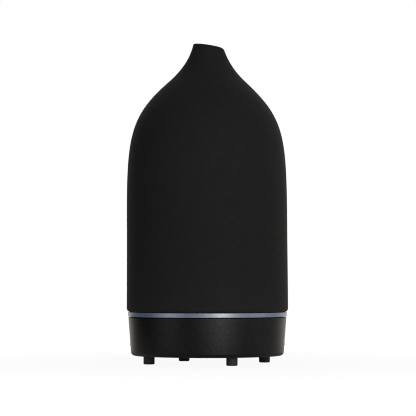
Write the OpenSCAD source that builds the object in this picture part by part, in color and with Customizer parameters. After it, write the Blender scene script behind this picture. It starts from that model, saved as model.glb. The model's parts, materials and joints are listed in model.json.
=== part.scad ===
// Ultrasonic essential oil diffuser: a bottle-shaped ceramic cover over a
// water tank, a frosted light ring and a shallow round base with the fan,
// the transducer drive and the controls inside.
// Millimetres. +Z up, -Y is the front, origin on the table at the centre.

/* [Ceramic cover] */
// Largest outside diameter, at the bottom rim
cover_d = 90; // [89.6:0.1:90.6]
// Height of the mouth's centre above the table
mouth_z = 177.5; // [176.5:0.1:178.4]
// Slope of the mouth, left side high
mouth_tilt = 8.5; // [6:0.5:12]
// Wall thickness of the casting
cover_wall = 3.2; // [3.0:0.1:3.4]
// Bore of the mist outlet
outlet_d = 10.4; // [9.6:0.2:10.8]
// Rounding of the bottom rim
rim_round = 2.2; // [1.2:0.1:2.2]

/* [Base] */
// Outside diameter of the base at its top edge
base_top_d = 88.6; // [88.4:0.1:89]
// Outside diameter of the base at its bottom edge
base_low_d = 85.2; // [85:0.1:86]
// Wall thickness of the base
base_wall = 1.8; // [1.6:0.1:1.8]
// Rounding of the base's bottom edge
base_round = 2.2; // [1.4:0.1:2.2]
// Diameter of each button
button_d = 5; // [4.6:0.1:5]
// How far a button stands proud of the wall
button_proud = 0.05; // [0:0.05:0.4]

/* [Tank] */
// Inside diameter of the tank
tank_d = 73.2; // [72.6:0.1:73.4]
// Height of the tank's rim above the table
tank_rim_z = 57; // [55:0.5:58]
// Height of the fill line above the table
fill_z = 51; // [47:0.5:52]

/* [Feet] */
// Diameter of a foot
foot_d = 6.2; // [5.6:0.1:6.2]
// Radius of the circle the feet stand on
foot_ring_r = 34.8; // [34.6:0.1:35]
// Turn of the foot circle from the side axis
foot_turn = 22.5; // [20:0.5:25]

/* [Fan] */
// Number of blades
fan_blades = 7; // [5:1:9]
// Pitch of the blades
blade_pitch = 38; // [32:1:42]

/* [Hidden] */
$fn = 64;
gap = 0.05;                     // between touching pieces

// Heights of the casing, from the table up
base_z = 4.45;                  // underside of the base
plate_top = 6.4;                // top of the bottom plate
led_ledge_z = 21.4;             // ledge under the LED board
base_top = 26.2;                // top edge of the base wall
ring_top = 28.6;                // seat of the ceramic cover
cover_z = ring_top + gap;       // bottom rim of the ceramic cover

// Radii of the casing
low_r = base_low_d / 2;
top_r = base_top_d / 2;
tank_r = tank_d / 2;
tank_out = tank_r + 2;
flange_r = 41.3;                // tank flange that centres the cover
foot_r = foot_d / 2;

// Sloped outside of the base wall: starts at side_z, ends at wall_end [r, z]
side_z = base_z + base_round;
wall_end = [top_r - 0.25, base_top - 0.3];

// Air tower at the back of the tank and the duct through it
tower_x = 8.2;                  // half width
tower_y = 24.9;                 // front face
tower_top = tank_rim_z - 1;
duct_x = 6.6;                   // half width
duct_y = [26.5, 34.4];          // front and back

// Transducer retainer under the tank
retainer_z = 18.75;
tank_seat_z = 19.6;             // underside of the tank's seat and bosses
retainer_lug_top = tank_seat_z - gap;

// Fan
fan_y = -21;                    // centre
fan_z = 8.4;                    // underside
fan_h = 7;
fan_hole = 12;                  // corner holes, from the centre in x and y

// Main board and its wire connectors
board_z = 8.4;                  // underside
board_t = 1.6;
board_top = board_z + board_t + gap;    // where parts on the board stand
led_plug_x = -10;
transducer_plug_x = 0;
fan_plug_x = 10;
plug_pin_x = 1.2;               // a socket from its connector's centre
plug_pin_y = -0.4;

// Controls
jack_z = 15;                    // axis of the power jack
button_z = 12;                  // axis of the buttons
switch_board_x = [34.1, 35.3];  // inner and outer face
plunger_tip = 38.4;

// Fixings
boss_r = 33.5;                  // circle of the case screws
boss_angles = [45:90:315];
foot_angles = [foot_turn:90:foot_turn + 270];
lug_r = 16.4;                   // circle of the retainer screws
lug_angles = [-90, 30, 150];
board_posts = [[23.5, 0], [-23.5, 0], [14, 21], [-14, 21]];
fan_posts = [for (side = [1, -1]) [side * fan_hole, side * fan_hole + fan_y]];

// Colours; one that only a single part has may stand in its module
black = [0.10, 0.10, 0.105];
moulded_black = [0.08, 0.08, 0.08];
charcoal = [0.13, 0.13, 0.13];
frost = [0.55, 0.60, 0.68];
off_white = [0.85, 0.85, 0.82];
steel = [0.72, 0.73, 0.75];
copper = [0.72, 0.42, 0.22];
green = [0.06, 0.25, 0.14];

// ---------- curves ----------

// Point and tangent of a cubic Bezier curve; along runs from 0 to 1
function bezier(curve, along) =
    pow(1 - along, 3) * curve[0] + 3 * pow(1 - along, 2) * along * curve[1]
    + 3 * (1 - along) * along * along * curve[2] + pow(along, 3) * curve[3];
function bezier_tangent(curve, along) =
    3 * pow(1 - along, 2) * (curve[1] - curve[0])
    + 6 * (1 - along) * along * (curve[2] - curve[1])
    + 3 * along * along * (curve[3] - curve[2]);
// Curve point moved to the inside of the wall, to the left of the upward tangent
function inset(curve, along, depth) =
    let (tangent = bezier_tangent(curve, along), dir = tangent / norm(tangent))
    bezier(curve, along) + depth * [-dir[1], dir[0]];

// Quarter round from the underside at low_z out to the radius edge_r
function low_round(edge_r, low_z, round_r) = [for (i = [0:6])
    let (angle = -90 + 90 * i / 6)
    [edge_r - round_r, low_z + round_r] + round_r * [cos(angle), sin(angle)]];

// Outside of the cover as Bezier control points [r, z], drawn for a 90 mm cover
cover_scale = cover_d / 90;
function widen(points) = [for (point = points) [point[0] * cover_scale, point[1]]];
shoulder = widen([[44.8, 70], [44.8, 126], [44.7, 136], [21.7, 157]]);
neck = widen([[21.7, 157], [19.3, 159.2], [10.4, 167.3], [8.1, 179]]);
shoulder_steps = 26;
neck_steps = 14;

// Outer radius of the base wall at height z
function base_r(z) =
    low_r + (wall_end[0] - low_r) * (z - side_z) / (wall_end[1] - side_z);

// ---------- shared shapes ----------

// Solid of revolution from [r, z] points
module turn(points) rotate_extrude($fn = 96) polygon(points);

module slab(x0, x1, y0, y1, z0, z1)
    translate([x0, y0, z0]) cube([x1 - x0, y1 - y0, z1 - z0]);

module at_circle(r, angles)
    for (angle = angles) rotate(angle) translate([r, 0, 0]) children();

module at_points(points, z)
    for (point = points) translate([point[0], point[1], z]) children();

// Frames whose local z runs outward: along +X at a button, along +Y at the jack
module button_axis(x = 0) translate([x, 0, button_z]) rotate([0, 90, 0]) children();
module jack_axis(y = 0) translate([0, y, jack_z]) rotate([-90, 0, 0]) children();

// Screw pointing up, with a domed head, a cross recess and ring threads;
// the head's seat is at z = 0
module screw(head_r, head_h, thread_r, length, pitch = 0.8) {
    teeth = floor(length / pitch) - 1;
    root_r = thread_r * 0.78;
    difference() {
        turn(concat(
            [[0, -head_h], [head_r * 0.55, -head_h], [head_r * 0.88, -head_h * 0.72],
             [head_r, -head_h * 0.35], [head_r, 0], [root_r, 0]],
            [for (i = [0:teeth - 1]) each [
                [root_r, pitch * (i + 0.25)],
                [thread_r, pitch * (i + 0.5)],
                [root_r, pitch * (i + 0.75)]]],
            [[root_r, length - thread_r * 0.9], [0, length]]));
        for (angle = [0, 90]) rotate(angle)
            translate([-head_r * 0.55, -head_r * 0.11, -head_h - 1])
                cube([head_r * 1.1, head_r * 0.22, 1 + head_h * 0.6]);
    }
}

// The same screw pointing down
module down_screw(head_r, head_h, thread_r, length, pitch = 0.8)
    mirror([0, 0, 1]) screw(head_r, head_h, thread_r, length, pitch);

// Round wire through a list of points, with a ball at each bend
module wire(points, r = 0.5) {
    for (i = [0:len(points) - 2]) {
        run = points[i + 1] - points[i];
        translate(points[i])
            rotate([0, acos(run[2] / norm(run)), atan2(run[1], run[0])])
                cylinder(r = r, h = norm(run), $fn = 40);
        if (i > 0) translate(points[i]) sphere(r = r * 1.1, $fn = 40);
    }
}

// ---------- casing ----------

module stone_cover() {
    bottom_r = cover_d / 2;
    blank_top = 182;            // the tilted mouth is cut below this
    color(charcoal) difference() {
        turn(concat(
            [[bottom_r - cover_wall, cover_z + 0.6], [bottom_r - cover_wall + 0.6, cover_z]],
            low_round(bottom_r, cover_z, rim_round),
            [for (i = [0:shoulder_steps]) bezier(shoulder, i / shoulder_steps)],
            [for (i = [1:neck_steps]) bezier(neck, i / neck_steps)],
            [[8.0 * cover_scale, blank_top], [outlet_d / 2, blank_top]],
            [[outlet_d / 2, 168]],
            // back down the inside
            [for (i = [6:-1:1]) inset(neck, i / neck_steps, cover_wall)],
            [for (i = [shoulder_steps:-1:0]) inset(shoulder, i / shoulder_steps, cover_wall)]));
        translate([0, 0, mouth_z]) rotate([0, mouth_tilt, 0])
            translate([-30, -30, 0]) cube([60, 60, 20]);
    }
}

module light_ring() {
    seat_z = base_top + gap;
    bevel = 0.15;
    // a skirt reaches down inside the base wall
    color(frost) turn([
        [38.9, seat_z], [40.3, seat_z], [40.3, 24.0], [42.3, 24.0], [42.3, seat_z],
        [top_r - bevel, seat_z], [top_r, seat_z + bevel],
        [top_r, ring_top - bevel], [top_r - bevel, ring_top],
        [41.45, ring_top], [41.45, 27.3], [38.9, 27.3]]);
}

module tank_gasket() {
    color([0.78, 0.78, 0.76]) turn([
        [39.2, 27.35], [41.0, 27.35], [41.25, 27.5], [41.25, 27.8], [41.0, 27.95],
        [39.2, 27.95], [38.95, 27.8], [38.95, 27.5]]);
}

module water_tank() {
    color(black) difference() {
        union() {
            turn([
                // transducer seat and underside
                [8.8, 22.9], [12.35, 22.9], [12.35, tank_seat_z], [14.4, tank_seat_z],
                [14.4, 23.9], [24, 25.2], [tank_out, 25.6],
                // flange
                [tank_out, 28.0], [flange_r, 28.0], [flange_r, 29.9],
                [flange_r - 0.4, 30.3], [tank_out, 30.3],
                // rim
                [tank_out, tank_rim_z - 0.6], [tank_out - 0.5, tank_rim_z],
                [tank_r + 0.5, tank_rim_z], [tank_r, tank_rim_z - 0.6],
                // ridge at the fill line
                [tank_r, fill_z + 0.35], [tank_r - 0.3, fill_z + 0.15],
                [tank_r - 0.3, fill_z - 0.15], [tank_r, fill_z - 0.35],
                // floor, sloping to the transducer
                [tank_r, 31.2], [tank_r - 0.9, 29.3], [tank_r - 2.8, 28.2],
                [13.2, 26.4], [10.2, 23.8], [8.8, 23.4]]);
            // screw bosses down to the bottom plate
            at_circle(boss_r, boss_angles)
                translate([0, 0, plate_top + gap]) cylinder(r = 3, h = 20);
            // bosses for the transducer retainer
            at_circle(lug_r, lug_angles) translate([0, 0, tank_seat_z]) cylinder(r = 2.3, h = 5.6);
            // air tower against the back wall
            intersection() {
                slab(-tower_x, tower_x, tower_y, 40, 26.5, tower_top);
                cylinder(r = tank_out - 0.8, h = 80);
            }
        }
        at_circle(boss_r, boss_angles)
            translate([0, 0, plate_top - 1]) cylinder(r = 1.35, h = 12.6);
        at_circle(lug_r, lug_angles) translate([0, 0, 18]) cylinder(r = 0.95, h = 6.4);
        slab(-duct_x, duct_x, duct_y[0], duct_y[1], 20, 70);
        // round pouring notch in the front of the rim
        translate([0, 0, tank_rim_z + 3]) rotate([90, 0, 0]) cylinder(r = 5.5, h = 50);
    }
}

module air_outlet_cap() {
    low_z = tower_top + gap;
    body_h = 5.2;
    depth = 10.5;
    fit = 0.1;                  // clearance of the plug in the duct
    plug_x = duct_x - fit;
    color(black) difference() {
        union() {
            slab(-tower_x, tower_x, tower_y, tower_y + depth, low_z, low_z + body_h);
            slab(-plug_x, plug_x, duct_y[0] + fit, duct_y[1] - fit, low_z - 4, low_z + 1);
            // top that rises to the back
            translate([-tower_x, tower_y, low_z + body_h]) rotate([0, 90, 0])
                linear_extrude(2 * tower_x)
                    polygon([[0, 0], [-1.6, 8.5], [-1.6, depth], [0, depth]]);
        }
        // passage up through the plug, then out through the sides and front
        slab(-5.2, 5.2, 28, 33, low_z - 6, low_z + 2);
        slab(-6.8, 6.8, 20, 33.8, low_z + 1, low_z + 4.2);
    }
}

module base_shell() {
    color(black) difference() {
        turn(concat(
            [[39.6, base_z]],
            low_round(low_r, base_z, base_round),
            [wall_end, [top_r - 0.5, base_top], [42.5, base_top],
             // ledge for the LED board
             [42.2, led_ledge_z], [40.0, led_ledge_z], [40.0, 19.9],
             [base_r(18.4) - base_wall, 18.4], [base_r(8) - base_wall, 8],
             // lip around the bottom plate
             [37.6, 8], [37.6, 6.5], [39.6, 6.5]]));
        for (side = [0, 180]) rotate(side) button_axis(36) cylinder(d = button_d + 0.24, h = 12);
        jack_axis(38) cylinder(r = 4.15, h = 10);
    }
}

// Pair of slotted posts that hold the +X switch board by its edges
module switch_channel() {
    fit = 0.1;
    for (side = [0, 1]) mirror([0, side, 0]) difference() {
        slab(32.9, 36.5, 4.6, 7.4, plate_top - 0.5, 14);
        slab(switch_board_x[0] - fit, switch_board_x[1] + fit, 3, 6.1, plate_top + gap, 20);
    }
}

// Posts on the bottom plate that carry a part at part_z
module plate_posts(points, r, part_z)
    at_points(points, plate_top - 0.5) cylinder(r = r, h = part_z - plate_top + 0.5 - gap);

module bottom_plate() {
    color(black) difference() {
        union() {
            translate([0, 0, base_z]) cylinder(r = 39.4, h = plate_top - base_z);
            plate_posts(board_posts, 2.6, board_z);
            plate_posts(fan_posts, 2.2, fan_z);
            for (side = [0, 180]) rotate(side) switch_channel();
        }
        at_points(concat(board_posts, fan_posts), 5) cylinder(r = 0.95, h = 10);
        // case screws in counterbores
        at_circle(boss_r, boss_angles) {
            translate([0, 0, base_z - 1]) cylinder(r = 2.75, h = 2.3);
            cylinder(r = 1.5, h = 10);
        }
        // sockets for the feet
        at_circle(foot_ring_r, foot_angles) {
            translate([0, 0, base_z - 1]) cylinder(r = foot_r + 0.15, h = 1.5);
            cylinder(r = 1.6, h = 10);
        }
        // air intake under the fan: ring slots crossed by four bars
        translate([0, fan_y, 0]) difference() {
            for (slot_r = [3.4, 6.2, 9.0, 11.8]) difference() {
                cylinder(r = slot_r + 1.6, h = 10);
                cylinder(r = slot_r, h = 10);
            }
            for (angle = [0, 45, 90, 135]) rotate(angle) slab(-20, 20, -0.7, 0.7, 0, 12);
        }
        // blank recess for the rating label
        slab(-15, 15, 6, 20, base_z - 1, base_z + 0.35);
    }
}

module rubber_feet() {
    socket_z = base_z + 0.45;
    // foot, then a stem through the plate and a barb above it
    color([0.07, 0.07, 0.07]) at_circle(foot_ring_r, foot_angles) turn([
        [0, 0], [foot_r - 1.1, 0], [foot_r - 0.45, 0.2], [foot_r - 0.12, 0.6], [foot_r, 1.1],
        [foot_r, socket_z], [1.5, socket_z],
        [1.5, plate_top + gap], [2.0, 6.5], [2.0, 6.8], [1.2, 7.6], [0, 7.6]]);
}

module case_screws() {
    color(steel) at_circle(boss_r, boss_angles) translate([0, 0, base_z + 1.28])
        screw(head_r = 2.5, head_h = 1.1, thread_r = 1.3, length = 11);
}

// ---------- transducer ----------

module transducer_disc() {
    color([0.80, 0.80, 0.78]) union() {
        translate([0, 0, 21.1]) cylinder(r = 10, h = 1.2);
        // thin raised faces below and above
        translate([0, 0, 20.98]) cylinder(r = 4.5, h = 0.2);
        translate([0, 0, 22.2]) cylinder(r = 8.2, h = 0.14);
    }
}

// Ring with a groove that grips the edge of the disc
module transducer_seal() {
    color(off_white) turn([
        [8.7, 19.95], [12.25, 19.95], [12.25, 22.85], [8.7, 22.85], [8.7, 22.38],
        [10.05, 22.38], [10.05, 21.05], [8.7, 21.05]]);
}

module transducer_retainer() {
    lug_half = 2.6;
    color(steel) difference() {
        union() {
            turn([
                [8.0, retainer_z], [14.2, retainer_z], [14.2, retainer_lug_top],
                [12.15, retainer_lug_top], [12.15, 19.9], [8.0, 19.9]]);
            for (angle = lug_angles) rotate(angle) {
                translate([lug_r, 0, retainer_z])
                    cylinder(r = lug_half, h = retainer_lug_top - retainer_z);
                slab(13.2, lug_r, -lug_half, lug_half, retainer_z, retainer_lug_top);
            }
        }
        at_circle(lug_r, lug_angles) translate([0, 0, 18]) cylinder(r = 1.15, h = 3);
    }
}

module retainer_screws() {
    color(steel) at_circle(lug_r, lug_angles) translate([0, 0, retainer_z - gap])
        screw(head_r = 1.9, head_h = 1.2, thread_r = 0.9, length = 5.4, pitch = 0.6);
}

// ---------- fan: drawn with its underside at z = 0 ----------

module fan_place() translate([0, fan_y, fan_z]) children();

// Cutter through the whole height of the fan
module fan_bore(r) translate([0, 0, -1]) cylinder(r = r, h = 40);

module fan_frame() {
    half = 15;
    plate_z = 6.1;              // underside of the motor plate
    color(moulded_black) fan_place() difference() {
        union() {
            difference() {
                slab(-half, half, -half, half, 0, fan_h);
                translate([0, 0, -1]) cylinder(r = 14, h = 9);
                // bevelled corners
                for (angle = [45:90:315]) rotate(angle) slab(19.6, 30, -10, 10, -1, 29);
            }
            // motor plate with three struts and the bearing tube
            translate([0, 0, plate_z]) cylinder(r = 6.6, h = 0.9);
            for (angle = [30, 150, 270]) rotate(angle) slab(5, 14.4, -0.7, 0.7, plate_z, fan_h);
            translate([0, 0, 2.3]) cylinder(r = 2.2, h = 4.4);
        }
        translate([0, 0, 2]) cylinder(r = 1.55, h = 4.1);
        for (x = [-fan_hole, fan_hole], y = [-fan_hole, fan_hole])
            translate([x, y, 0]) fan_bore(1.3);
    }
}

module fan_bearing() {
    color([0.75, 0.58, 0.28]) fan_place()
        turn([[0.8, 2.5], [1.5, 2.5], [1.5, 6.0], [0.8, 6.0]]);
}

module fan_stator() {
    low_z = 2.9;
    height = 2.2;
    color([0.45, 0.46, 0.48]) fan_place() difference() {
        union() {
            translate([0, 0, low_z]) cylinder(r = 3.0, h = height);
            // four arms with curved pole faces
            for (angle = [0:90:270]) rotate(angle) {
                slab(2.5, 4.4, -0.5, 0.5, low_z, low_z + height);
                intersection() {
                    difference() {
                        translate([0, 0, low_z]) cylinder(r = 4.75, h = height);
                        fan_bore(4.25);
                    }
                    slab(3, 6, -2.2, 2.2, 0, fan_h);
                }
            }
        }
        fan_bore(2.25);
    }
}

module fan_coils() {
    color(copper) fan_place() for (angle = [0:90:270]) rotate(angle) difference() {
        slab(3.15, 3.95, -1.35, 1.35, 2.4, 5.6);
        slab(3, 5, -0.55, 0.55, 2.85, 5.15);
    }
}

module fan_rotor() {
    color([0.09, 0.09, 0.09]) fan_place() union() {
        // hub cup, open at the top, with a collar around the shaft
        turn([
            [0.76, 0.5], [6.0, 0.5], [6.6, 1.0], [6.6, 5.8], [5.9, 5.8],
            [5.9, 1.4], [1.7, 1.4], [1.7, 2.1], [0.76, 2.1]]);
        // blades, trimmed to the swept ring
        intersection() {
            for (i = [0:fan_blades - 1]) rotate(i * 360 / fan_blades)
                translate([0, 0, 3.4]) rotate([blade_pitch, 0, 0])
                    slab(6.2, 14, -4.6, 4.6, -0.35, 0.35);
            difference() {
                translate([0, 0, 0.8]) cylinder(r = 13.4, h = 5.0);
                fan_bore(6.3);
            }
        }
    }
}

module fan_magnet() {
    color([0.25, 0.22, 0.20]) fan_place()
        turn([[5.05, 1.5], [5.85, 1.5], [5.85, 5.7], [5.05, 5.7]]);
}

module fan_shaft() {
    shaft_r = 0.75;
    straight = 5.1;
    color(steel) fan_place() translate([0, 0, 0.6]) union() {
        cylinder(r = shaft_r, h = straight);
        translate([0, 0, straight]) cylinder(r1 = shaft_r, r2 = 0.4, h = 0.3);
    }
}

module fan_screws() {
    color(steel) at_points(fan_posts, fan_z + fan_h + gap)
        down_screw(head_r = 2.0, head_h = 1.3, thread_r = 0.9, length = 9.4);
}

// ---------- electronics ----------

module on_board(x = 0, y = 0) translate([x, y, board_top]) children();

module main_board() {
    color(green) difference() {
        // the tongue at the back carries the power jack
        translate([0, 0, board_z]) linear_extrude(board_t) polygon([
            [-27, -3], [27, -3], [27, 15], [17, 25], [8, 25], [8, 36.5],
            [-8, 36.5], [-8, 25], [-17, 25], [-27, 15]]);
        at_points(board_posts, 0) cylinder(r = 1.15, h = 20);
    }
}

module board_screws() {
    color(steel) at_points(board_posts, board_top)
        down_screw(head_r = 1.9, head_h = 1.2, thread_r = 0.9, length = 4.8, pitch = 0.6);
}

// Capacitor can with a crimp near the foot and a sunk top
module can(x, y, r, h) on_board(x, y) turn([
    [0, 0], [r - 0.2, 0], [r, 0.2], [r, 1.2], [r - 0.25, 1.5], [r, 1.8],
    [r, h - 0.5], [r - 0.5, h], [r - 0.9, h], [r - 1.0, h - 0.2], [0, h - 0.2]]);

module filter_capacitors() {
    color([0.12, 0.14, 0.22]) {
        can(x = -21.8, y = 6.6, r = 4, h = 9.6);
        can(x = -18.5, y = 16.5, r = 3.15, h = 7.2);
    }
}

module drive_coil() {
    color(copper) on_board(5, 10) turn([
        [0, 0], [3.9, 0], [3.9, 0.9], [3.2, 0.9], [3.2, 5], [3.9, 5], [3.9, 5.9],
        [1.0, 5.9], [1.0, 5.2], [0, 5.2]]);
}

module driver_transistor() {
    color(moulded_black) on_board() {
        slab(17.4, 20.1, 5.5, 13.5, 2, 9);
        for (y = [7, 9.5, 12]) slab(18.5, 19.1, y - 0.35, y + 0.35, 0, 1.98);
    }
}

module heat_sink() {
    color([0.70, 0.71, 0.73]) on_board() {
        slab(20.2, 21.6, 4.5, 14.5, 0, 10);
        for (y = [4.5:3:13.5]) slab(21.55, 26, y, y + 1, 0.8, 10);
    }
}

module controller_chip() {
    color([0.07, 0.07, 0.08]) on_board() {
        difference() {
            slab(-9, -4, 8, 12, 0.15, 1.7);
            translate([-8.2, 8.8, 1.5]) cylinder(r = 0.4, h = 1);
        }
        // four legs in a row on each side
        for (i = [0:3], row = [[6.9, 7.98], [12.02, 13.1]]) {
            x = -8.4 + i * 1.27;
            slab(x, x + 0.42, row[0], row[1], 0, 0.35);
        }
    }
}

module wire_connectors() {
    well = 0.75;                // half width of a socket
    color([0.88, 0.87, 0.82]) on_board()
        for (x = [led_plug_x, transducer_plug_x, fan_plug_x]) difference() {
            slab(x - 3.6, x + 3.6, -2.6, 1.8, 0, 5);
            for (pin = [x - plug_pin_x, x + plug_pin_x])
                slab(pin - well, pin + well, plug_pin_y - well, plug_pin_y + well, 2, 8);
        }
}

module dc_jack() {
    color([0.06, 0.06, 0.06]) difference() {
        union() {
            slab(-4.5, 4.5, 27, 40.6, board_top, 19);
            jack_axis(40) cylinder(r = 3.95, h = 3.1);
        }
        jack_axis(33.8) cylinder(r = 3.15, h = 12);
        jack_axis(26) cylinder(r = 1.35, h = 10);
        slab(-1.3, 1.3, 30, 33, board_top - 1, board_top + 1.2);
    }
}

module dc_jack_pin() {
    color(steel) jack_axis() turn([
        [0, 27.4], [1.3, 27.4], [1.3, 33.85], [1.05, 33.85], [1.05, 41.9],
        [0.75, 42.3], [0, 42.5]]);
}

module dc_jack_terminals() {
    color(steel) on_board() {
        slab(-1.0, 1.0, 31.2, 31.7, -0.02, 1.0);
        slab(-2.0, 2.0, 26.2, 26.9, 0, 4);
        slab(4.6, 5.1, 31, 34, 0, 4);
    }
}

led_board_z = led_ledge_z + gap;
led_board_top = led_board_z + 1;

module led_board() {
    color([0.90, 0.90, 0.88]) turn([
        [37.3, led_board_z], [41.8, led_board_z],
        [41.8, led_board_top], [37.3, led_board_top]]);
}

module leds() {
    color([0.95, 0.93, 0.80]) at_circle(40.2, [22.5:45:337.5]) difference() {
        slab(-1.4, 1.4, -1.75, 1.75, led_board_top + gap, 23.6);
        translate([0, 0, 23.35]) cylinder(r1 = 0.9, r2 = 1.2, h = 0.4);
    }
}

// ---------- buttons: mist on the +X side, light the same turned half round ----------

module button_cap() {
    cap_r = button_d / 2;
    face_x = base_r(button_z) + button_proud;
    // [r, x]: stem, flange inside the wall, then the slightly domed face
    color(black) button_axis() turn([
        [0, plunger_tip + 0.02], [1.2, plunger_tip + 0.02], [1.2, 39.8],
        [3.4, 39.8], [3.4, 40.7], [cap_r, 40.7],
        [cap_r, face_x - 0.35], [cap_r - 0.2, face_x - 0.12],
        [cap_r * 0.6, face_x - 0.03], [0, face_x]]);
}

module switch_plunger() {
    color([0.15, 0.15, 0.15]) button_axis() turn([
        [0, 36.7], [1.0, 36.7], [1.0, plunger_tip - 0.15],
        [0.85, plunger_tip], [0, plunger_tip]]);
}

module tact_switch() {
    back_x = switch_board_x[1] + gap;
    half = 2.25;
    color([0.62, 0.62, 0.63]) {
        difference() {
            slab(back_x, 37.5, -half, half, button_z - half, button_z + half);
            button_axis(36.1) cylinder(r = 1.1, h = 5);
        }
        // four legs
        for (y = [-3.05, 2.3], z = [button_z - 1.4, button_z + 1.4])
            slab(back_x, back_x + 0.4, y, y + 0.75, z - 0.35, z + 0.35);
    }
}

module switch_board() {
    color(green) slab(switch_board_x[0], switch_board_x[1], -6, 6, plate_top + 0.1, 16.6);
}

// ---------- wiring ----------

// Wire out of a connector: straight up from the socket at x to rise_z, then on
module plug_wire(x, rise_z, path) wire(concat(
    [[x, plug_pin_y, board_top + 2.1], [x, plug_pin_y, rise_z]], path));

module transducer_wires() {
    color([0.75, 0.10, 0.08]) {
        plug_wire(transducer_plug_x - plug_pin_x, 16.4, [[-3, 0.6, 18.2], [-3, 0.6, 20.9]]);
        plug_wire(transducer_plug_x + plug_pin_x, 16.4, [[2.5, 0.6, 18.2], [2.5, 0.6, 20.9]]);
    }
}

module fan_wires() {
    color([0.10, 0.10, 0.10]) {
        plug_wire(fan_plug_x - plug_pin_x, 16.8, [[3.4, -16, 16.0]]);
        plug_wire(fan_plug_x + plug_pin_x, 17.2, [[5.0, -16.6, 16.0]]);
    }
}

module led_wires() {
    color(off_white) {
        plug_wire(led_plug_x + plug_pin_x, 16, [[-35.2, -13.6, 18.8], [-35.2, -13.6, 21.4]]);
        plug_wire(led_plug_x - plug_pin_x, 16.6, [[-35.9, -11.4, 19], [-35.9, -11.4, 21.4]]);
    }
}

module switch_wires() {
    board_x = 25.8;             // where they meet the main board
    color([0.90, 0.75, 0.15]) for (side = [-1, 1], y = [-1.6, 1.6])
        wire([
            [side * 33.9, y, 9.4],
            [side * board_x, y * 1.25, 12.6],
            [side * board_x, y * 1.25, board_top]], r = 0.4);
}

// ---------- output ----------

stone_cover();
light_ring();
water_tank();
air_outlet_cap();
tank_gasket();
base_shell();
bottom_plate();
rubber_feet();
case_screws();
transducer_disc();
transducer_seal();
transducer_retainer();
retainer_screws();
fan_frame();
fan_bearing();
fan_stator();
fan_coils();
fan_rotor();
fan_magnet();
fan_shaft();
fan_screws();
main_board();
board_screws();
filter_capacitors();
drive_coil();
driver_transistor();
heat_sink();
controller_chip();
wire_connectors();
dc_jack();
dc_jack_pin();
dc_jack_terminals();
led_board();
leds();
button_cap();  // mist_button_cap
switch_plunger();  // mist_switch_plunger
tact_switch();  // mist_switch
switch_board();  // mist_switch_board
rotate(180) button_cap();  // light_button_cap
rotate(180) switch_plunger();  // light_switch_plunger
rotate(180) tact_switch();  // light_switch
rotate(180) switch_board();  // light_switch_board
transducer_wires();
fan_wires();
led_wires();
switch_wires();
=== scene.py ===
"""A diffuser with a black ceramic cover over a round base.

The axis is Z, the feet stand near z = 0 and the camera looks from -Y towards +Y, with +X on
its right. The mist button is on the +X side, the light button on -X and the jack hole at +Y.
Sizes are in millimetres unless noted, and are scaled by MM when a mesh or material is made.
"""

import json
import math

import bmesh
import bpy
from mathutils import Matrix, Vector


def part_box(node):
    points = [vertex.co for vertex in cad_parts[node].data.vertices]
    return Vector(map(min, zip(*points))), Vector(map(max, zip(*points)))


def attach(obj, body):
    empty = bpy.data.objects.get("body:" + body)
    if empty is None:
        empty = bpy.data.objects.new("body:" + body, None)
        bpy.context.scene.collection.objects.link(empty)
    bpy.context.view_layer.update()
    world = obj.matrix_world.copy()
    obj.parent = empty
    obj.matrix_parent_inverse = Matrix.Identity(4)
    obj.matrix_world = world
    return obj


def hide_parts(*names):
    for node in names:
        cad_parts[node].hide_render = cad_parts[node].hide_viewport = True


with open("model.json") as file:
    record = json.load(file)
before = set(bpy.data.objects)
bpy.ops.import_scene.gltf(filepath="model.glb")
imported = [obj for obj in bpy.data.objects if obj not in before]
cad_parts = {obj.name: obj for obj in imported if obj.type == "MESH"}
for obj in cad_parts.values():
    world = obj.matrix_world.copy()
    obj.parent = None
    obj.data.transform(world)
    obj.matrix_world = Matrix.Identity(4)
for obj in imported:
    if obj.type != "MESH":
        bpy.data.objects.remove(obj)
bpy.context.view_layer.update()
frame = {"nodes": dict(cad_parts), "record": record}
MM = 0.001


def box_mm(node):
    low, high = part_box(node)
    return [c / MM for c in low], [c / MM for c in high]


# --------------------------------------------------- dimensions shared by several sections

SHELL_LOW, SHELL_HIGH = box_mm("base_shell")
SHELL_BOTTOM, SHELL_TOP = SHELL_LOW[2], SHELL_HIGH[2]
REVEAL = 0.42                 # height of the reveal between light ring and housing
REVEAL_FADE = 0.06            # height over which the housing's reflection fades into the painted shade of the reveal
BUTTON_Z = 12.0

# ------------------------------------------------------------------------ outline helpers


def bezier(controls, t):
    """Point of a cubic curve in (r, z)."""
    u = 1 - t
    return tuple(
        u ** 3 * a + 3 * u * u * t * b + 3 * u * t * t * c + t ** 3 * d
        for a, b, c, d in zip(*controls)
    )


def bezier_direction(controls, t):
    """Unit tangent of a cubic curve in (r, z)."""
    u = 1 - t
    slope = [
        3 * u * u * (b - a) + 6 * u * t * (c - b) + 3 * t * t * (d - c)
        for a, b, c, d in zip(*controls)
    ]
    length = math.hypot(*slope)
    return slope[0] / length, slope[1] / length


def quadratic(start, corner, end, t):
    return tuple(
        (1 - t) ** 2 * a + 2 * t * (1 - t) * b + t * t * c
        for a, b, c in zip(start, corner, end)
    )


def between(start, end, t):
    return start[0] + (end[0] - start[0]) * t, start[1] + (end[1] - start[1]) * t


def bisect(low, high, is_below):
    """The place between low and high where is_below stops being true."""
    for _ in range(40):
        middle = (low + high) / 2
        if is_below(middle):
            low = middle
        else:
            high = middle
    return low


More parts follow.
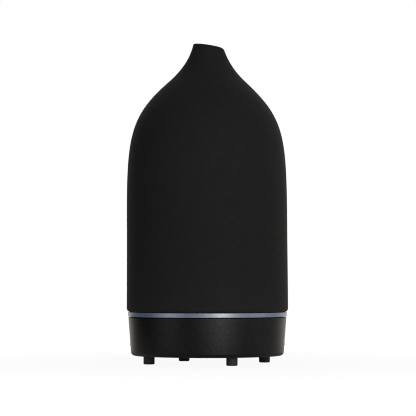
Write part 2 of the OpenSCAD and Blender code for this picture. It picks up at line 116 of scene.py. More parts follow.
def fillet(before, corner, after, radius, steps=5):
    """Points of a round corner, between the directions of its two neighbours."""
    to_before = (before[0] - corner[0], before[1] - corner[1])
    to_after = (after[0] - corner[0], after[1] - corner[1])
    len_before, len_after = math.hypot(*to_before), math.hypot(*to_after)
    dir_before = (to_before[0] / len_before, to_before[1] / len_before)
    dir_after = (to_after[0] / len_after, to_after[1] / len_after)
    cosine = dir_before[0] * dir_after[0] + dir_before[1] * dir_after[1]
    half = math.acos(max(-1, min(1, cosine))) / 2
    if half > math.pi / 2 - 1e-3:   # a straight run has no corner to round
        return [corner]
    cut = min(radius / math.tan(half), len_before * 0.49, len_after * 0.49)
    radius = cut * math.tan(half)
    middle = (dir_before[0] + dir_after[0], dir_before[1] + dir_after[1])
    reach = radius / math.sin(half) / math.hypot(*middle)
    centre = (corner[0] + middle[0] * reach, corner[1] + middle[1] * reach)

    def bearing(direction):
        return math.atan2(corner[1] + direction[1] * cut - centre[1],
                          corner[0] + direction[0] * cut - centre[0])

    first, last = bearing(dir_before), bearing(dir_after)
    while last - first > math.pi:
        last -= 2 * math.pi
    while last - first < -math.pi:
        last += 2 * math.pi
    angles = [first + (last - first) * i / steps for i in range(steps + 1)]
    return [(centre[0] + radius * math.cos(a), centre[1] + radius * math.sin(a)) for a in angles]


def rounded(points, closed=True, steps=4):
    """Outline of (r, z) or (r, z, corner radius) points, with its corners rounded."""
    out = []
    count = len(points)
    for i, point in enumerate(points):
        is_end = not closed and i in (0, count - 1)
        if len(point) > 2 and not is_end:
            after = points[(i + 1) % count]
            out += fillet(points[i - 1][:2], point[:2], after[:2], point[2], steps)
        else:
            out.append(point[:2])
    return out


# --------------------------------------------------------------------------- mesh helpers


def vertex(bm, x, y, z):
    return bm.verts.new(Vector((x, y, z)) * MM)


def lathe(bm, outline, segments, closed=True, place=lambda x, y, z: (x, y, z)):
    """Revolves an (r, z) outline about Z. place moves each point to its final position."""
    rows = []
    for r, z in outline:
        if r < 1e-6:
            rows.append([vertex(bm, *place(0, 0, z))])
            continue
        angles = [2 * math.pi * j / segments for j in range(segments)]
        rows.append([vertex(bm, *place(r * math.cos(a), r * math.sin(a), z)) for a in angles])
    count = len(rows)
    for i in range(count if closed else count - 1):
        a, b = rows[i], rows[(i + 1) % count]
        for j in range(segments):
            k = (j + 1) % segments
            if len(a) == 1:
                bm.faces.new((a[0], b[j], b[k]))
            elif len(b) == 1:
                bm.faces.new((a[j], b[0], a[k]))
            else:
                bm.faces.new((a[j], b[j], b[k], a[k]))


def finish_piece(name, bm, node, body, slot, sharp=None):
    """Makes the object that stands in for a CAD node. sharp is in degrees."""
    bmesh.ops.remove_doubles(bm, verts=bm.verts, dist=2e-7)
    bmesh.ops.recalc_face_normals(bm, faces=bm.faces)
    mesh = bpy.data.meshes.new(name)
    bm.to_mesh(mesh)
    bm.free()
    for polygon in mesh.polygons:
        polygon.use_smooth = True
    if sharp is not None:
        mesh.set_sharp_from_angle(angle=math.radians(sharp))
    piece = bpy.data.objects.new(name, mesh)
    bpy.context.scene.collection.objects.link(piece)
    mesh.materials.append(MATERIALS[slot])
    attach(piece, body)
    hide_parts(node)


# --------------------------------------------------------------------------- node helpers


class Nodes:
    """A node tree with its output and texture coordinates."""

    def __init__(self, tree, output_kind):
        tree.nodes.clear()
        self.tree = tree
        self.out = self.add(output_kind)
        self.coord = self.add("ShaderNodeTexCoord")

    def add(self, kind, inputs={}, **settings):
        """Adds a node. Each input gets a value, or a link if it is given a socket."""
        node = self.tree.nodes.new(kind)
        for key, value in settings.items():
            setattr(node, key, value)
        for key, value in inputs.items():
            if isinstance(value, bpy.types.NodeSocket):
                self.tree.links.new(value, node.inputs[key])
            else:
                node.inputs[key].default_value = value
        return node

    def surface(self, shader):
        self.tree.links.new(shader, self.out.inputs["Surface"])

    def math(self, operation, a, b):
        return self.add("ShaderNodeMath", {0: a, 1: b}, operation=operation).outputs[0]

    def mix_color(self, factor, a, b, blend_type="MIX"):
        # the colour sockets of a Mix node are inputs 6 and 7 and output 2
        return self.add("ShaderNodeMix", {0: factor, 6: a, 7: b},
                        data_type="RGBA", blend_type=blend_type).outputs[2]

    def mix_shader(self, factor, a, b):
        return self.add("ShaderNodeMixShader", {0: factor, 1: a, 2: b}).outputs[0]

    def split(self, vector):
        return self.add("ShaderNodeSeparateXYZ", {0: vector}).outputs

    def noise(self, size, detail=3.0, roughness=0.55, stretch=(1, 1, 1)):
        """Noise in object space, with grains of the given size in mm."""
        scale = 1.0 / (size * MM)
        mapping = self.add("ShaderNodeMapping", {
            "Scale": tuple(scale * s for s in stretch),
            "Vector": self.coord.outputs["Object"]})
        return self.add("ShaderNodeTexNoise", {
            "Scale": 1.0, "Detail": detail, "Roughness": roughness,
            "Vector": mapping.outputs["Vector"]}).outputs["Fac"]

    def ramp(self, value, stops):
        """Colour ramp through (position, (r, g, b)) stops in rising order."""
        node = self.add("ShaderNodeValToRGB", {"Fac": value})
        elements = node.color_ramp.elements
        while len(elements) > 1:
            elements.remove(elements[-1])
        for i, (position, color) in enumerate(stops):
            element = elements.new(position) if i else elements[0]
            element.position = position
            element.color = (*color, 1)
        return node.outputs["Color"]

    def remap(self, value, source, result, **settings):
        return self.add("ShaderNodeMapRange", {
            "From Min": source[0], "From Max": source[1],
            "To Min": result[0], "To Max": result[1], "Value": value},
            **settings).outputs["Result"]

    def bump(self, height, strength, depth, normal=None):
        """Bump with its depth in mm, laid over another normal if one is given."""
        inputs = {"Strength": strength, "Distance": depth * MM, "Height": height}
        if normal is not None:
            inputs["Normal"] = normal
        return self.add("ShaderNodeBump", inputs).outputs["Normal"]

    def worn(self, body, bare, amount):
        """Lets a paler colour through where the surface bends sharply outwards."""
        geometry = self.add("ShaderNodeNewGeometry")
        edge = self.remap(geometry.outputs["Pointiness"], source=(0.53, 0.60), result=(0.0, 1.0))
        spots = self.remap(self.noise(size=2.4, roughness=0.6),
                           source=(0.42, 0.62), result=(0.0, amount))
        return self.mix_color(self.math("MULTIPLY", edge, spots), body, (*bare, 1))


def new_material(name):
    material = bpy.data.materials.new(name)
    material.use_nodes = True
    return material, Nodes(material.node_tree, "ShaderNodeOutputMaterial")


def tint(color, factor):
    return tuple(c * factor for c in color)


def gray(value):
    return (value, value, value)


# ------------------------------------------------------------------------------ materials


def moulded(name, color, rough, grain, depth, mottle=0.10, spec=0.5, metal=0.0,
            drift=6.0, stretch=(1, 1, 1), coat=0.0):
    """Solid material with fine surface grain, slow colour drift and uneven gloss."""
    material, nodes = new_material(name)
    slow = nodes.noise(size=drift)
    fine = nodes.noise(size=grain, detail=2.0, roughness=0.6, stretch=stretch)
    rough_spread = 0.06
    shader = nodes.add("ShaderNodeBsdfPrincipled", {
        "Base Color": nodes.ramp(slow, [
            (0.3, tint(color, 1 - mottle)), (0.7, tint(color, 1 + mottle))]),
        "Roughness": nodes.remap(fine, source=(0.3, 0.7),
                                 result=(rough - rough_spread, rough + rough_spread)),
        "Metallic": metal,
        "Specular IOR Level": spec,
        "Coat Weight": coat,
        "Coat Roughness": 0.12,
        "Normal": nodes.bump(fine, strength=0.6, depth=depth)})
    nodes.surface(shader.outputs["BSDF"])
    return material


def ceramic_material():
    """Unglazed black stoneware: fine tooth, cloudy firing, a few pale grains, rubbed edges, and
    painted bounce light low on the side.
    """
    material, nodes = new_material("black_ceramic")
    slow = nodes.noise(size=26, detail=4.0, roughness=0.6)
    cloud = nodes.noise(size=3.2, detail=4.0, roughness=0.6)
    grain = nodes.noise(size=0.42, detail=3.0, roughness=0.7)
    pore = nodes.noise(size=1.1, detail=2.0, roughness=0.5)

    base = nodes.ramp(slow, [(0.3, (0.0073, 0.0066, 0.0067)), (0.7, (0.0083, 0.0075, 0.0076))])
    clouds = nodes.ramp(cloud, [(0.3, gray(0.93)), (0.7, gray(1.07))])
    clouded = nodes.mix_color(1.0, base, clouds, blend_type="MULTIPLY")
    speck = nodes.ramp(pore, [(0.70, gray(0)), (0.78, gray(1))])
    speck_strength = nodes.remap(speck, source=(0, 1), result=(0, 0.30))
    speckled = nodes.mix_color(speck_strength, clouded, (0.020, 0.019, 0.019, 1))

    # painted light: the lower part of the cover is painted paler towards the bottom, standing in
    # for light bounced up from the floor
    height = nodes.split(nodes.coord.outputs["Object"])["Z"]
    painted_bounce_light = nodes.ramp(
        nodes.remap(height, source=(28 * MM, 88 * MM), result=(0.0, 1.0)),
        [(0.0, gray(1)), (0.08, gray(0.72)), (0.18, gray(0.48)), (0.28, gray(0.34)),
         (0.47, gray(0.14)), (0.85, gray(0))])
    bounce_lit_color = nodes.add("ShaderNodeVectorMath", {
        0: speckled, "Scale": nodes.remap(painted_bounce_light, source=(0, 1), result=(1.0, 1.95))},
        operation="SCALE").outputs[0]

    tooth = nodes.bump(grain, strength=0.55, depth=0.018)
    # the base colour below holds the painted bounce light as well as the edge wear
    shader = nodes.add("ShaderNodeBsdfPrincipled", {
        "Base Color": nodes.worn(bounce_lit_color, bare=(0.030, 0.029, 0.029), amount=0.35),
        "Roughness": nodes.remap(cloud, source=(0.3, 0.7), result=(0.80, 0.90)),
        "Specular IOR Level": 0.457,
        "Normal": nodes.bump(cloud, strength=0.35, depth=0.03, normal=tooth)})
    nodes.surface(shader.outputs["BSDF"])
    return material


def base_material():
    """Satin black moulding with a fine spark-eroded texture."""
    material, nodes = new_material("base_plastic")
    texture = nodes.noise(size=1.25, roughness=0.65)
    fine = nodes.noise(size=0.28, detail=2.0, roughness=0.6)
    slow = nodes.noise(size=18)
    body = nodes.ramp(slow, [(0.3, (0.0013, 0.0012, 0.0012)), (0.7, (0.0017, 0.0016, 0.0016))])

    # painted shade: the housing's reflection is switched off in the narrow reveal under the light
    # ring, standing in for the shade in that slit
    height = nodes.split(nodes.coord.outputs["Object"])["Z"]
    fade_z = SHELL_TOP - REVEAL - REVEAL_FADE
    below_reveal = nodes.remap(height, source=(fade_z * MM, (fade_z + REVEAL_FADE) * MM),
                               result=(1.0, 0.0))
    shine = nodes.remap(texture, source=(0.35, 0.65), result=(0.43, 0.57))

    grain = nodes.bump(fine, strength=0.5, depth=0.010)
    shader = nodes.add("ShaderNodeBsdfPrincipled", {
        "Base Color": nodes.worn(body, bare=gray(0.012), amount=0.30),
        "Roughness": nodes.remap(fine, source=(0.3, 0.7), result=(0.32, 0.40)),
        # reflection cut to nothing in the reveal, as painted shade
        "Specular IOR Level": nodes.math("MULTIPLY", shine, below_reveal),
        "Specular Tint": (1.0, 0.945, 0.96, 1),
        "Normal": nodes.bump(texture, strength=0.7, depth=0.065, normal=grain)})
    nodes.surface(shader.outputs["BSDF"])
    return material


def ring_material():
    """Frosted, blue-grey translucent ring."""
    material, nodes = new_material("frosted_ring")
    fine = nodes.noise(size=0.35, detail=2.0, roughness=0.6)
    slow = nodes.noise(size=9)
    shader = nodes.add("ShaderNodeBsdfPrincipled", {
        "Base Color": nodes.ramp(slow, [
            (0.3, (0.192, 0.278, 0.450)), (0.7, (0.208, 0.297, 0.476))]),
        "Roughness": nodes.remap(fine, source=(0.3, 0.7), result=(0.22, 0.28)),
        "IOR": 2.28,
        "Specular IOR Level": 1.0,
        "Subsurface Weight": 0.10,
        "Subsurface Radius": (0.8, 0.9, 1.0),
        "Subsurface Scale": 0.001,
        "Normal": nodes.bump(fine, strength=0.35, depth=0.004)})
    nodes.surface(shader.outputs["BSDF"])
    return material


# name, colour, roughness, grain size, grain depth, other arguments of moulded()
MOULDED = [
    ("button_plastic", (0.0036, 0.0034, 0.0034), 0.32, 0.25, 0.004, {}),
    ("plate_plastic", (0.0060, 0.0058, 0.0058), 0.46, 0.55, 0.020, {}),
    ("foot_rubber", (0.0720, 0.0690, 0.0665), 0.60, 0.5, 0.012, {"spec": 0.4}),
    ("tank_plastic", (0.020, 0.020, 0.021), 0.36, 0.45, 0.008, {}),
    ("seal_silicone", (0.62, 0.62, 0.60), 0.55, 0.5, 0.01, {"spec": 0.4}),
    ("screw_steel", (0.55, 0.56, 0.58), 0.32, 0.25, 0.004, {"metal": 1.0}),
    ("disc_metal", (0.74, 0.73, 0.70), 0.30, 0.3, 0.003, {"metal": 1.0}),
    ("stamped_steel", (0.50, 0.51, 0.53), 0.36, 0.3, 0.004,
     {"metal": 1.0, "stretch": (1, 6, 1)}),
    ("fan_plastic", (0.018, 0.018, 0.019), 0.42, 0.4, 0.008, {}),
    ("bearing_bronze", (0.62, 0.40, 0.17), 0.42, 0.2, 0.006, {"metal": 1.0}),
    ("winding_copper", (0.72, 0.30, 0.12), 0.28, 0.22, 0.03,
     {"metal": 1.0, "stretch": (0.1, 0.1, 1.6)}),
    ("ferrite", (0.06, 0.055, 0.05), 0.55, 0.3, 0.01, {}),
    ("shaft_steel", (0.66, 0.67, 0.69), 0.16, 0.3, 0.001, {"metal": 1.0}),
    ("board_green", (0.012, 0.10, 0.045), 0.28, 0.8, 0.01,
     {"mottle": 0.2, "drift": 2.5, "coat": 0.4}),
    ("board_white", (0.80, 0.80, 0.78), 0.35, 0.8, 0.006, {}),
    ("led_lens", (0.85, 0.72, 0.30), 0.25, 0.4, 0.004, {"coat": 0.6}),
    ("capacitor_sleeve", (0.02, 0.03, 0.08), 0.25, 0.6, 0.006, {"coat": 0.5}),
    ("chip_black", (0.014, 0.014, 0.015), 0.5, 0.25, 0.008, {}),
    ("fin_aluminium", (0.62, 0.63, 0.65), 0.34, 0.3, 0.006,
     {"metal": 1.0, "stretch": (1, 1, 0.15)}),
    ("connector_nylon", (0.74, 0.71, 0.60), 0.42, 0.4, 0.006, {}),
    ("jack_plastic", (0.012, 0.012, 0.012), 0.40, 0.35, 0.008, {}),
    ("terminal_metal", (0.70, 0.69, 0.66), 0.25, 0.25, 0.003, {"metal": 1.0}),
    ("switch_case", (0.22, 0.22, 0.23), 0.40, 0.3, 0.006, {}),
    ("wire_red", (0.42, 0.02, 0.015), 0.32, 0.5, 0.006, {}),
    ("wire_black", (0.015, 0.015, 0.015), 0.32, 0.5, 0.006, {}),
    ("wire_white", (0.70, 0.70, 0.67), 0.34, 0.5, 0.006, {}),
    ("wire_yellow", (0.62, 0.40, 0.03), 0.32, 0.5, 0.006, {}),
]
MATERIALS = {
    "black_ceramic": ceramic_material(),
    "base_plastic": base_material(),
    "frosted_ring": ring_material(),
}
for *look, options in MOULDED:
    MATERIALS[look[0]] = moulded(*look, **options)

# -------------------------------------------------------------------------- ceramic cover

cover_low, cover_high = box_mm("stone_cover")
COVER_R, COVER_Z = cover_high[0], cover_low[2]
COVER_WALL = 3.2
COVER_SEGMENTS = 288
RIM = 2.2                                        # outer rounding of the bottom edge
BORE = 5.2                                       # radius of the hole in the mouth
BORE_END, BORE_CORNER = 169.0, 168.0             # where the bore starts to flare, and its corner
GROW = COVER_R / 45.0                            # the curves below are for a radius of 45
# cubic control points, (r, z)
SHOULDER = [(r * GROW, z) for r, z in [(44.8, 70), (44.8, 126), (44.7, 136), (21.7, 157)]]
NECK = [(r * GROW, z) for r, z in [(21.7, 157), (19.3, 159.2), (10.4, 167.3), (8.1, 179)]]
INNER_NECK_END = 6 / 14                          # the inner wall follows NECK up to here
MOUTH_Z, MOUTH_SLOPE = 177.5, math.tan(math.radians(8.5))


def inset(controls, t):
    """Point of the inner wall, one wall thickness in from a curve."""
    point, direction = bezier(controls, t), bezier_direction(controls, t)
    return point[0] - direction[1] * COVER_WALL, point[1] + direction[0] * COVER_WALL


def mouth_height(r, angle):
    """The mouth is cut at a slant, lowest towards +X."""
    return MOUTH_Z - MOUTH_SLOPE * r * math.cos(angle)


def cover_outside():
    """Bottom rim, side and shoulder."""
    inner_r = COVER_R - COVER_WALL
    out = rounded([(inner_r, COVER_Z + 8), (inner_r, COVER_Z, 0.7), (COVER_R - 8, COVER_Z)],
                  closed=False)[1:-1]
    for i in range(11):
        w = math.radians(-90 + 90 * i / 10)
        out.append((COVER_R - RIM + RIM * math.cos(w), COVER_Z + RIM + RIM * math.sin(w)))
    out += [between((COVER_R, COVER_Z + RIM), SHOULDER[0], i / 14) for i in range(1, 14)]
    out += [bezier(SHOULDER, i / 44) for i in range(45)]
    return out


def cover_neck(angle):
    """Neck, rounded lip, slanted mouth and the start of the bore."""
    lip = 1.35 + 0.40 * math.cos(angle)          # size of the lip's rounding

    def below_mouth(t):
        r, z = bezier(NECK, t)
        return z < mouth_height(r, angle)

    def clear_of_lip(t):
        r, z = bezier(NECK, t)
        return math.hypot(r - corner[0], z - corner[1]) > lip

    corner_t = bisect(0.5, 1.25, below_mouth)
    corner = bezier(NECK, corner_t)
    lip_t = bisect(0.4, corner_t, clear_of_lip)
    out = [bezier(NECK, lip_t * i / 30) for i in range(1, 31)]

    start = out[-1]
    lip_r = corner[0] - lip * 0.9
    lip_end = (lip_r, mouth_height(lip_r, angle))
    out += [quadratic(start, corner, lip_end, i / 8) for i in range(1, 9)]

    edge_round = min(0.8, (lip_r - BORE) * 0.45)
    edge = (BORE + edge_round, mouth_height(BORE + edge_round, angle))
    flat_r = (lip_r + edge[0]) / 2
    out.append((flat_r, mouth_height(flat_r, angle)))
    tip = (BORE, mouth_height(BORE, angle))
    down = (BORE, tip[1] - edge_round)
    out += [quadratic(edge, tip, down, i / 6) for i in range(7)]
    out += [between(down, (BORE, BORE_END), i / 5) for i in range(1, 6)]
    return out


def cover_inside():
    """Flare under the bore, then the inner wall down to the rim."""
    corner = (BORE, BORE_CORNER)
    flare_end = inset(NECK, INNER_NECK_END)
    turn_end = between(corner, flare_end, 0.3)
    out = [quadratic((BORE, BORE_END), corner, turn_end, i / 6) for i in range(1, 6)]
    out += [between(corner, flare_end, i / 10) for i in range(3, 10)]
    out += [inset(NECK, INNER_NECK_END * i / 12) for i in range(12, 0, -1)]
    out += [inset(SHOULDER, i / 30) for i in range(30, -1, -1)]
    top, bottom = out[-1], (COVER_R - COVER_WALL, COVER_Z + 4)
    out += [between(top, bottom, i / 8) for i in range(1, 8)]
    return out


def ease(value, start, end):
    t = max(0.0, min(1.0, (value - start) / (end - start)))
    return t * t * (3 - 2 * t)


def lean(z):
    """A hand casting: the body bows slightly towards -X and the neck towards +X."""
    return -0.33 * ease(z, 30, 115) + 0.66 * ease(z, 147, 173)


def build_cover():
    bm = bmesh.new()
    outside, inside = cover_outside(), cover_inside()
    columns = []
    for j in range(COVER_SEGMENTS):
        angle = 2 * math.pi * j / COVER_SEGMENTS
        columns.append([
            vertex(bm, r * math.cos(angle) + lean(z), r * math.sin(angle), z)
            for r, z in outside + cover_neck(angle) + inside])
    count = len(columns[0])
    for j in range(COVER_SEGMENTS):
        a, b = columns[j], columns[(j + 1) % COVER_SEGMENTS]
        for i in range(count):
            k = (i + 1) % count
            bm.faces.new((a[i], b[i], b[k], a[k]))
    finish_piece("cover_casting", bm, "stone_cover", "cover", "black_ceramic")


build_cover()

# ----------------------------------------------------------------------------- light ring


def build_ring():
    """A flat band with a stepped top and a thin spigot below."""
    low, high = box_mm("light_ring")
    outer_r, top, spigot_end = high[0], high[2], low[2]
    inner_r, spigot_inner_r, spigot_outer_r, step_r = 38.9, 40.3, 42.3, 41.45
    inner_under, outer_under, step_z = top - 2.35, top - 2.39, top - 1.3
    bm = bmesh.new()
    # r, z, corner radius
    lathe(bm, rounded([
        (inner_r, inner_under, 0.15),
        (spigot_inner_r, inner_under, 0.1), (spigot_inner_r, spigot_end, 0.2),
        (spigot_outer_r, spigot_end, 0.2), (spigot_outer_r, outer_under, 0.1),
        (outer_r, outer_under, 0.12), (outer_r, top, 0.16),
        (step_r, top, 0.15), (step_r, step_z, 0.1), (inner_r, step_z, 0.15)]), 256)
    finish_piece("light_ring_frosted", bm, "light_ring", "base", "frosted_ring", sharp=40)


build_ring()

# --------------------------------------------------------------------------- base housing

SHELL_LOW_R, SHELL_TOP_R = 42.6, SHELL_HIGH[0]
SHELL_CORNER = 2.2                               # rounding of the bottom edge
SHELL_WALL = 1.8
SHELL_SEGMENTS = 256
OUTER, INNER = 1, -1                             # the two sides of the wall
HOLE_CHAMFER = 0.3                               # rounding of a hole's outer edge
# angle about Z, height, radius: mist button, light button, jack
HOLES = [(0.0, BUTTON_Z, 2.62), (math.pi, BUTTON_Z, 2.62), (math.pi / 2, 15.0, 4.15)]


def shell_r(z, side=OUTER):
    """Radius of the tapered wall at a height."""
    start = SHELL_BOTTOM + SHELL_CORNER
    rise = (z - SHELL_BOTTOM - SHELL_CORNER) / (SHELL_TOP - 0.3 - start)
    r = SHELL_LOW_R + (SHELL_TOP_R - SHELL_LOW_R) * rise
    return r if side == OUTER else r - SHELL_WALL


def shell_outline():
    """Closed (r, z) outline, and the row indices of its outer and inner walls."""
    points = [(39.6, SHELL_BOTTOM + 0.35), (39.75, SHELL_BOTTOM + 0.1), (40.0, SHELL_BOTTOM)]
    for i in range(13):
        w = math.radians(-90 + 90 * i / 12)
        points.append((SHELL_LOW_R - SHELL_CORNER + SHELL_CORNER * math.cos(w),
                       SHELL_BOTTOM + SHELL_CORNER + SHELL_CORNER * math.sin(w)))
    top = SHELL_TOP - REVEAL
    start, end, steps = SHELL_BOTTOM + SHELL_CORNER, top - 0.2, 26
    outer = range(len(points), len(points) + steps)
    heights = [start + (end - start) * i / steps for i in range(1, steps + 1)]
    points += [(shell_r(z), z) for z in heights]
    points += fillet((shell_r(top - 3), top - 3), (shell_r(top) - 0.02, top), (42.5, top), 0.09)
    # reveal, upstand and the ledge inside it
    points += [
        (43.1, top), (42.95, top + 0.05), (42.9, SHELL_TOP), (42.6, SHELL_TOP),
        (42.48, SHELL_TOP - 0.1), (42.2, 21.5), (42.1, 21.4), (40.1, 21.4), (40.0, 21.3),
        (40.0, 20.0), (40.1, 19.85)]
    start, end, steps = 18.4, 8.2, 14
    inner = range(len(points), len(points) + steps + 1)
    heights = [start + (end - start) * i / steps for i in range(steps + 1)]
    points += [(shell_r(z, INNER), z) for z in heights]
    # lip that stands inwards at the bottom
    points += [(40.6, 8.0), (37.7, 8.0), (37.6, 7.9), (37.6, 6.6), (37.7, 6.5), (39.6, 6.5)]
    return points, outer, inner


def hole_window(hole, rows, points):
    """First and last row and column of the grid cells left out around a hole."""
    angle, hole_z, hole_r = hole
    step = 2 * math.pi / SHELL_SEGMENTS
    near = [i for i in rows if abs(points[i][1] - hole_z) < hole_r + 0.9]
    first, last = min(near), max(near)
    if first - 1 in rows:
        first -= 1
    if last + 1 in rows:
        last += 1
    middle = round(angle / step)
    half = math.ceil((hole_r + 1.2) / (43 * step))   # 43: nominal radius of the wall
    return first, last, middle - half, middle + half


def window_loop(grid, first, last, left, right):
    """The grid's vertices around a window, in order."""
    def at(i, j):
        return grid[i][j % SHELL_SEGMENTS]

    return ([at(first, j) for j in range(left, right)]
            + [at(i, right) for i in range(first, last)]
            + [at(last, j) for j in range(right, left, -1)]
            + [at(i, left) for i in range(last, first, -1)])


def join_loops(bm, a, b):
    for i in range(len(a)):
        k = (i + 1) % len(a)
        bm.faces.new((a[i], a[k], b[k], b[i]))


def fill_window(bm, hole, side, loop):
    """Fills the wall between a window and its round hole, and returns the hole's rim."""
    angle, hole_z, hole_r = hole
    cos_a, sin_a = math.cos(angle), math.sin(angle)
    chamfer = HOLE_CHAMFER if side == OUTER else 0.0
    edge_r = hole_r + chamfer

    def on_wall(across, up):
        z = hole_z + up
        r = shell_r(z, side)
        out = math.sqrt(max(0, r * r - across * across))
        return Vector((out * cos_a - across * sin_a, out * sin_a + across * cos_a, z)) * MM

    flat = []
    for v in loop:
        x, y, z = v.co / MM
        flat.append((-x * sin_a + y * cos_a, z - hole_z))
    directions = [math.atan2(up, across) for across, up in flat]
    rim = loop
    for i in range(1, 6):
        row = []
        for start, d in zip(flat, directions):
            end = (edge_r * math.cos(d), edge_r * math.sin(d))
            row.append(bm.verts.new(on_wall(*between(start, end, i / 5))))
        join_loops(bm, rim, row)
        rim = row
    if side == OUTER:
        for i in (1, 2, 3):
            w = math.radians(90 * i / 3)
            r = hole_r + chamfer * (1 - math.sin(w))
            back = Vector((cos_a, sin_a, 0)) * (chamfer * (1 - math.cos(w)) * MM)
            row = [bm.verts.new(on_wall(r * math.cos(d), r * math.sin(d)) - back)
                   for d in directions]
            join_loops(bm, rim, row)
            rim = row
    return rim


def build_housing():
    bm = bmesh.new()
    points, outer, inner = shell_outline()
    angles = [2 * math.pi * j / SHELL_SEGMENTS for j in range(SHELL_SEGMENTS)]
    grid = [[vertex(bm, r * math.cos(a), r * math.sin(a), z) for a in angles]
            for r, z in points]
    skip = set()
    windows = []
    for hole in HOLES:
        for rows, side in ((outer, OUTER), (inner, INNER)):
            first, last, left, right = hole_window(hole, rows, points)
            skip |= {(i, j % SHELL_SEGMENTS)
                     for i in range(first, last) for j in range(left, right)}
            windows.append((hole, side, window_loop(grid, first, last, left, right)))
    for i in range(len(points)):
        a, b = grid[i], grid[(i + 1) % len(points)]
        for j in range(SHELL_SEGMENTS):
            if (i, j) not in skip:
                k = (j + 1) % SHELL_SEGMENTS
                bm.faces.new((a[j], b[j], b[k], a[k]))
    rims = [fill_window(bm, *window) for window in windows]
    # a tube through the wall joins each hole's outer and inner rim
    for pair in zip(rims[0::2], rims[1::2]):
        edges = [bm.edges.get((rim[i], rim[(i + 1) % len(rim)]))
                 for rim in pair for i in range(len(rim))]
        bmesh.ops.bridge_loops(bm, edges=edges)
    finish_piece("base_housing", bm, "base_shell", "base", "base_plastic", sharp=35)


build_housing()

# -------------------------------------------------------------------------------- buttons


def build_button(name, node, sign):
    """A round button lying along X, on the side given by sign."""
    low, high = box_mm(node)
    back, face = (low[0], high[0]) if sign > 0 else (-high[0], -low[0])
    # r, distance from the base's axis, corner radius: stem, flange, cap
    outline = rounded([
        (0, back), (1.2, back, 0.2), (1.2, 39.8, 0.2),
        (3.4, 39.8, 0.15), (3.4, 40.7, 0.15), (2.5, 40.7, 0.1),
        (2.5, face - 0.12, 0.42), (1.2, face - 0.02, 0.8), (0, face)], closed=False, steps=5)
    bm = bmesh.new()
    lathe(bm, outline, 72, closed=False, place=lambda x, y, z: (sign * z, y, BUTTON_Z + x))
    finish_piece(name, bm, node, name, "button_plastic", sharp=50)


build_button("mist_button", "mist_button_cap", 1)
build_button("light_button", "light_button_cap", -1)

# ----------------------------------------------------------------------------------- feet

FOOT_CIRCLE = 34.8                               # radius on which the four feet stand
# r, z, corner radius: pad, narrow neck, pointed head
FOOT = [
    (0, 0.12), (1.4, 0.12, 0.1), (1.7, 0, 0.2), (3.1, 0, 1.3), (3.1, 4.9, 0.1),
    (1.5, 4.9, 0.1), (1.5, 6.45, 0.05),
    (2.0, 6.5, 0.1), (2.0, 6.8, 0.2), (1.2, 7.6, 0.3), (0, 7.6)]


def build_feet():
    bm = bmesh.new()
    outline = rounded(FOOT, closed=False, steps=5)
    for i in range(4):
        angle = math.radians(22.5 + 90 * i)
        foot_x, foot_y = FOOT_CIRCLE * math.cos(angle), FOOT_CIRCLE * math.sin(angle)
        lathe(bm, outline, 64, closed=False,
              place=lambda x, y, z: (x + foot_x, y + foot_y, z))
    finish_piece("feet_rubber", bm, "rubber_feet", "base", "foot_rubber", sharp=60)


build_feet()

# ------------------------------------------------------------- the CAD nodes that are kept

# width of the broken edge of each moulding
EDGE = {"water_tank": 0.22, "air_outlet_cap": 0.45, "bottom_plate": 0.16}


def break_edges(piece, width):
    weld = piece.modifiers.new("weld", "WELD")
    weld.merge_threshold = 2e-6
    bevel = piece.modifiers.new("edges", "BEVEL")
    bevel.width = width * MM
    bevel.segments = 3
    bevel.limit_method = "ANGLE"
    bevel.angle_limit = math.radians(38)
    bevel.use_clamp_overlap = True
    tidy = piece.modifiers.new("tidy", "WELD")
    tidy.merge_threshold = 1e-7
    normals = piece.modifiers.new("normals", "WEIGHTED_NORMAL")
    normals.keep_sharp = False
    normals.weight = 80


slot_of = {part["node"]: part["material_slot"] for part in frame["record"]["subparts"]}
for node, piece in frame["nodes"].items():
    if piece.hide_render:
        continue
    piece.data.materials.clear()
    piece.data.materials.append(MATERIALS[slot_of[node]])
    if node in EDGE:
        break_edges(piece, EDGE[node])

# ---------------------------------------------------------------------------------- floor


def floor_material():
    material, nodes = new_material("floor_pale")
    diffuse = nodes.add("ShaderNodeBsdfDiffuse", {"Color": (0.74, 0.74, 0.74, 1)})
    glow = nodes.add("ShaderNodeEmission", {"Color": (1, 1, 1, 1), "Strength": 1.0})
    clear = nodes.add("ShaderNodeBsdfTransparent").outputs["BSDF"]
    # the camera sees mostly an even white glow, other rays mostly the diffuse floor
    is_camera = nodes.add("ShaderNodeLightPath").outputs["Is Camera Ray"]
    glow_share = nodes.math("ADD", nodes.math("MULTIPLY", is_camera, 0.90), 0.04)
    pale = nodes.mix_shader(glow_share, diffuse.outputs["BSDF"], glow.outputs["Emission"])
    # the floor melts into the backdrop away from the object, between these distances in metres
    distance = nodes.add("ShaderNodeVectorMath", {0: nodes.coord.outputs["Object"]},
                         operation="LENGTH").outputs["Value"]
    fade = nodes.remap(distance, source=(0.06, 0.20), result=(0.0, 1.0))
    faded = nodes.mix_shader(fade, pale, clear)
    # and it can be looked through from below
    backfacing = nodes.add("ShaderNodeNewGeometry").outputs["Backfacing"]
    nodes.surface(nodes.mix_shader(backfacing, faded, clear))
    return material


def build_floor():
    bm = bmesh.new()
    bmesh.ops.create_grid(bm, x_segments=8, y_segments=8, size=0.5)
    mesh = bpy.data.meshes.new("floor")
    bm.to_mesh(mesh)
    bm.free()
    floor = bpy.data.objects.new("floor", mesh)
    bpy.context.scene.collection.objects.link(floor)
    mesh.materials.append(floor_material())


build_floor()

# ---------------------------------------------------------------------------- studio light

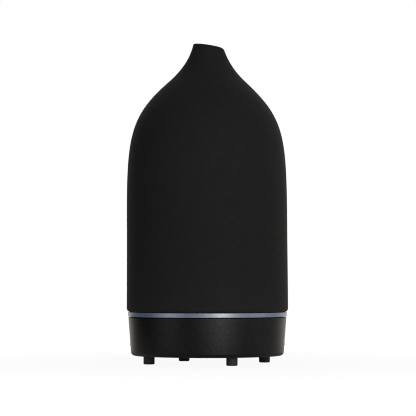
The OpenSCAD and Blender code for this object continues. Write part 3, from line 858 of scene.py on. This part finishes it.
# Radiance by azimuth in degrees: 0 is -Y, the camera's side, and + is towards +X.
# A bright strip in front to the right, a weaker one to the left, a dim broad one on the
# right and white card behind.
SURROUND = [
    (-180, 0.80), (-157, 0.93), (-135, 0.14), (-110, 0.0), (-88, 0.0), (-70, 0.32),
    (-53, 0.60), (-36, 0.115), (-20, 0.12), (-5, 0.42), (9, 0.98), (21, 2.13),
    (33, 0.92), (46, 0.35), (62, 0.245), (80, 0.40), (98, 0.27), (116, 0.19),
    (135, 0.50), (157, 0.88), (180, 0.80)]
PEAK = max(value for _, value in SURROUND)
WARM, NEUTRAL = (1.06, 0.99, 0.92), (1.0, 1.0, 1.0)
WARM_FROM = 100                                  # azimuth beyond which the light is warm
FADE_START, FADE_END = 35, 70                    # elevations where the surround fades out
SKY = 0.16                                       # radiance overhead


def build_world():
    world = bpy.data.worlds.new("studio")
    bpy.context.scene.world = world
    world.use_nodes = True
    nodes = Nodes(world.node_tree, "ShaderNodeOutputWorld")

    def background(color, strength):
        return nodes.add("ShaderNodeBackground",
                         {"Color": color, "Strength": strength}).outputs[0]

    white = (1, 1, 1, 1)
    direction = nodes.split(nodes.coord.outputs["Generated"])
    azimuth = nodes.math("ARCTAN2", direction["X"], nodes.math("MULTIPLY", direction["Y"], -1.0))
    turn = nodes.math("ADD", nodes.math("DIVIDE", azimuth, 2 * math.pi), 0.5)
    color = nodes.ramp(turn, [
        ((degrees + 180) / 360, tint(WARM if abs(degrees) > WARM_FROM else NEUTRAL, value / PEAK))
        for degrees, value in SURROUND])
    strength = nodes.remap(
        direction["Z"], interpolation_type="SMOOTHSTEP", result=(PEAK, 0.0),
        source=(math.sin(math.radians(FADE_START)), math.sin(math.radians(FADE_END))))
    overhead = nodes.math("SUBTRACT", 1.0, nodes.math("DIVIDE", strength, PEAK))
    light = nodes.add("ShaderNodeAddShader", {
        0: background(color, strength),
        1: background(white, nodes.math("MULTIPLY", overhead, SKY))}).outputs[0]
    is_camera = nodes.add("ShaderNodeLightPath").outputs["Is Camera Ray"]
    nodes.surface(nodes.mix_shader(is_camera, light, background(white, 1.0)))


build_world()

# --------------------------------------------------------------------- camera and render

CAMERA_PLACE = (0.00034, -1.188, 0.0487)         # metres
CAMERA_TILT = 1.831                              # degrees above the horizontal

scene = bpy.context.scene
lens = bpy.data.cameras.new("camera")
lens.lens = 184.07
lens.sensor_width = 36.0
lens.clip_end = 50
camera = bpy.data.objects.new("camera", lens)
scene.collection.objects.link(camera)
camera.location = CAMERA_PLACE
camera.rotation_euler = (math.radians(90 + CAMERA_TILT), 0, 0)
scene.camera = camera

scene.view_settings.view_transform = "Standard"
scene.cycles.use_denoising = True
scene.cycles.filter_width = 1.1
